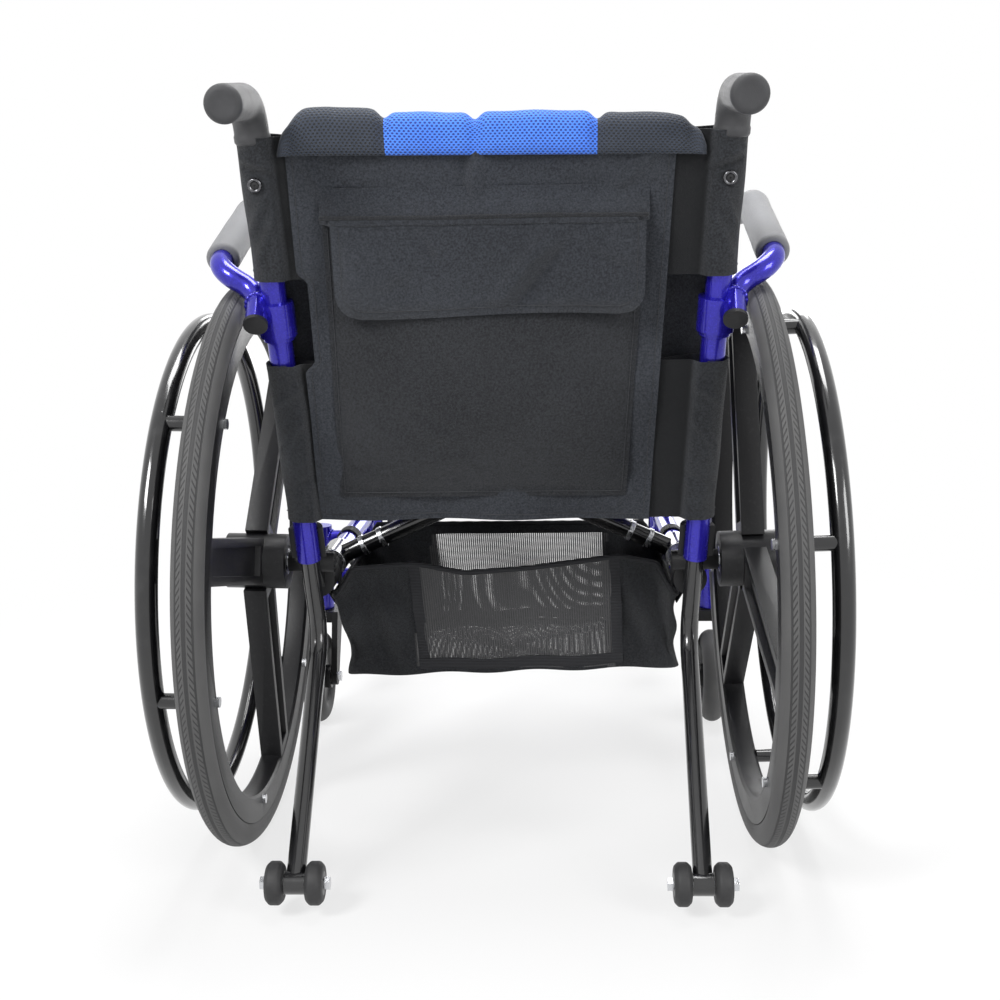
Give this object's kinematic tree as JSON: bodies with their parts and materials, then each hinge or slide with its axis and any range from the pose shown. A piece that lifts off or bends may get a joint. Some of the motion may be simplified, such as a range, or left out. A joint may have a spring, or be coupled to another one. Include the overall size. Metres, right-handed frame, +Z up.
{
  "type": "sports wheelchair",
  "caption": "Folding sports wheelchair with cambered three-spoke wheels, handrims, swing-away tube arms, anti-tip wheels, mesh back cushion, rear pocket and under-seat net bag.",
  "frame": {"origin": "on the floor, under the middle of the whole chair", "axes": "+X to the right of the seated person, +Y ahead, +Z up"},
  "size_m": [0.6664, 0.9218, 0.7896],
  "materials": {
    "frame_blue": "metallic blue enamel, glossy",
    "grip_rubber": "smooth moulded rubber",
    "cast_black": "satin black powder coat",
    "steel": "zinc-plated steel",
    "wheel_moulding": "glass-filled moulding, satin",
    "drive_rubber": "solid grey-black tyre with a centre groove",
    "handrim_black": "glossy black coating",
    "caster_rubber": "solid caster tyre on a moulded hub",
    "arm_foam": "closed-cell foam",
    "black_plastic": "moulded plastic",
    "tube_black": "glossy black powder coat",
    "tip_rubber": "moulded solid wheel",
    "lever_metal": "bead-blasted",
    "black_cloth": "woven nylon",
    "cushion_mesh": "spacer mesh in blue and black panels",
    "bag_net": "open net with black bindings"
  },
  "bodies": {
    "frame_left": {"side_frame_left": "frame_blue", "push_grip_left": "grip_rubber", "axle_bracket_left": "cast_black", "axle_left": "steel", "lock_bracket_left": "cast_black", "rail_saddles_left": "black_plastic", "sleeve_screws_left": "steel", "back_upholstery": "black_cloth", "back_cushion": "cushion_mesh", "back_pocket": "black_cloth", "under_seat_bag": "bag_net"},
    "brace_a": {"brace_arm_a": "tube_black", "brace_bolt": "steel", "seat_rail_right": "tube_black"},
    "brace_b": {"brace_arm_b": "tube_black", "seat_rail_left": "tube_black"},
    "frame_right": {"side_frame_right": "frame_blue", "push_grip_right": "grip_rubber", "axle_bracket_right": "cast_black", "axle_right": "steel", "lock_bracket_right": "cast_black", "rail_saddles_right": "black_plastic", "sleeve_screws_right": "steel"},
    "seat": {"seat_sling": "black_cloth"},
    "flap": {"pocket_flap": "black_cloth"},
    "wheel_left": {"drive_wheel_left": "wheel_moulding", "drive_tyre_left": "drive_rubber", "handrim_left": "handrim_black", "handrim_bolts_left": "steel", "hub_bearings_left": "steel"},
    "button_left": {"axle_button_left": "steel"},
    "fork_left": {"caster_fork_left": "cast_black", "caster_axle_left": "steel"},
    "caster_left": {"caster_wheel_left": "caster_rubber"},
    "arm_left": {"armrest_left": "frame_blue", "arm_pad_left": "arm_foam", "arm_plug_left": "black_plastic"},
    "anti_tip_left": {"anti_tip_tube_left": "tube_black", "anti_tip_axle_left": "steel"},
    "tip_wheels_left": {"anti_tip_wheels_left": "tip_rubber"},
    "lock_left": {"lock_lever_left": "lever_metal"},
    "plate_left": {"footplate_left": "black_plastic"},
    "wheel_right": {"drive_wheel_right": "wheel_moulding", "drive_tyre_right": "drive_rubber", "handrim_right": "handrim_black", "handrim_bolts_right": "steel", "hub_bearings_right": "steel"},
    "button_right": {"axle_button_right": "steel"},
    "fork_right": {"caster_fork_right": "cast_black", "caster_axle_right": "steel"},
    "caster_right": {"caster_wheel_right": "caster_rubber"},
    "arm_right": {"armrest_right": "frame_blue", "arm_pad_right": "arm_foam", "arm_plug_right": "black_plastic"},
    "anti_tip_right": {"anti_tip_tube_right": "tube_black", "anti_tip_axle_right": "steel"},
    "tip_wheels_right": {"anti_tip_wheels_right": "tip_rubber"},
    "lock_right": {"lock_lever_right": "lever_metal"},
    "plate_right": {"footplate_right": "black_plastic"}
  },
  "joints": [
    {"name": "fold", "type": "hinge", "parent": "frame_left", "child": "brace_a", "pos_m": [-0.206, -0.00591, 0.278], "axis": [0, -1, 0], "range_deg": [0, 50], "deforming": ["back_upholstery", "back_cushion", "back_pocket", "pocket_flap", "seat_sling", "under_seat_bag"]},
    {"name": "brace_cross", "type": "hinge", "parent": "brace_a", "child": "brace_b", "pos_m": [0, -0.00591, 0.37], "axis": [0, -1, 0], "range_deg": [-100, 0]},
    {"name": "right_follow", "type": "hinge", "parent": "brace_b", "child": "frame_right", "pos_m": [0.206, -0.00591, 0.278], "axis": [0, -1, 0], "range_deg": [0, 50]},
    {"name": "seat_follow", "type": "hinge", "parent": "brace_a", "child": "seat", "pos_m": [0.206, -0.00591, 0.462], "axis": [0, -1, 0], "range_deg": [-50, 0]},
    {"name": "flap_lift", "type": "hinge", "parent": "frame_left", "child": "flap", "pos_m": [0, -0.30223, 0.66156], "axis": [-1, 0, 0], "range_deg": [0, 110]},
    {"name": "wheel_spin_left", "type": "hinge", "parent": "frame_left", "child": "wheel_left", "pos_m": [-0.27, -0.15591, 0.3049], "axis": [0.9997, 0, -0.0262], "continuous": true},
    {"name": "axle_release_left", "type": "slide", "parent": "frame_left", "child": "button_left", "axis": [0.9997, 0, -0.0262], "range_m": [0, 0.004], "stiffness_N_per_m": 300},
    {"name": "caster_swivel_left", "type": "hinge", "parent": "frame_left", "child": "fork_left", "pos_m": [-0.27, 0.23911, 0.278], "axis": [0, 0, 1], "continuous": true},
    {"name": "caster_spin_left", "type": "hinge", "parent": "fork_left", "child": "caster_left", "pos_m": [-0.27, 0.20111, 0.0625], "axis": [1, 0, 0], "continuous": true},
    {"name": "arm_swing_left", "type": "hinge", "parent": "frame_left", "child": "arm_left", "pos_m": [-0.21731, -0.25249, 0.572], "axis": [-0.0423, -0.2417, 0.9694], "range_deg": [0, 90]},
    {"name": "anti_tip_turn_left", "type": "hinge", "parent": "frame_left", "child": "anti_tip_left", "pos_m": [-0.206, -0.18791, 0.313], "axis": [0.0423, 0.2417, -0.9694], "range_deg": [-36, 0]},
    {"name": "tip_wheel_spin_left", "type": "hinge", "parent": "anti_tip_left", "child": "tip_wheels_left", "pos_m": [-0.197, -0.37791, 0.033], "axis": [1, 0, 0], "continuous": true},
    {"name": "wheel_lock_left", "type": "hinge", "parent": "frame_left", "child": "lock_left", "pos_m": [-0.2365, 0.17411, 0.44], "axis": [-1, 0, 0], "range_deg": [0, 22.9]},
    {"name": "footplate_flip_left", "type": "hinge", "parent": "frame_left", "child": "plate_left", "pos_m": [-0.179, 0.40091, 0.142], "axis": [0, -1, 0], "range_deg": [-92, 0]},
    {"name": "wheel_spin_right", "type": "hinge", "parent": "frame_right", "child": "wheel_right", "pos_m": [0.27, -0.15591, 0.3049], "axis": [0.9997, 0, 0.0262], "continuous": true},
    {"name": "axle_release_right", "type": "slide", "parent": "frame_right", "child": "button_right", "axis": [-0.9997, 0, -0.0262], "range_m": [0, 0.004], "stiffness_N_per_m": 300},
    {"name": "caster_swivel_right", "type": "hinge", "parent": "frame_right", "child": "fork_right", "pos_m": [0.27, 0.23911, 0.278], "axis": [0, 0, 1], "continuous": true},
    {"name": "caster_spin_right", "type": "hinge", "parent": "fork_right", "child": "caster_right", "pos_m": [0.27, 0.20111, 0.0625], "axis": [1, 0, 0], "continuous": true},
    {"name": "arm_swing_right", "type": "hinge", "parent": "frame_right", "child": "arm_right", "pos_m": [0.21731, -0.25249, 0.572], "axis": [-0.0423, 0.2417, -0.9694], "range_deg": [0, 90]},
    {"name": "anti_tip_turn_right", "type": "hinge", "parent": "frame_right", "child": "anti_tip_right", "pos_m": [0.206, -0.18791, 0.313], "axis": [0.0423, -0.2417, 0.9694], "range_deg": [-36, 0]},
    {"name": "tip_wheel_spin_right", "type": "hinge", "parent": "anti_tip_right", "child": "tip_wheels_right", "pos_m": [0.197, -0.37791, 0.033], "axis": [1, 0, 0], "continuous": true},
    {"name": "wheel_lock_right", "type": "hinge", "parent": "frame_right", "child": "lock_right", "pos_m": [0.2365, 0.17411, 0.44], "axis": [-1, 0, 0], "range_deg": [0, 22.9]},
    {"name": "footplate_flip_right", "type": "hinge", "parent": "frame_right", "child": "plate_right", "pos_m": [0.179, 0.40091, 0.142], "axis": [0, 1, 0], "range_deg": [-92, 0]}
  ],
  "couplings": [
    {"joint": "brace_cross", "follows": "fold", "ratio": -2},
    {"joint": "right_follow", "follows": "fold", "ratio": 1},
    {"joint": "seat_follow", "follows": "fold", "ratio": -1}
  ]
}
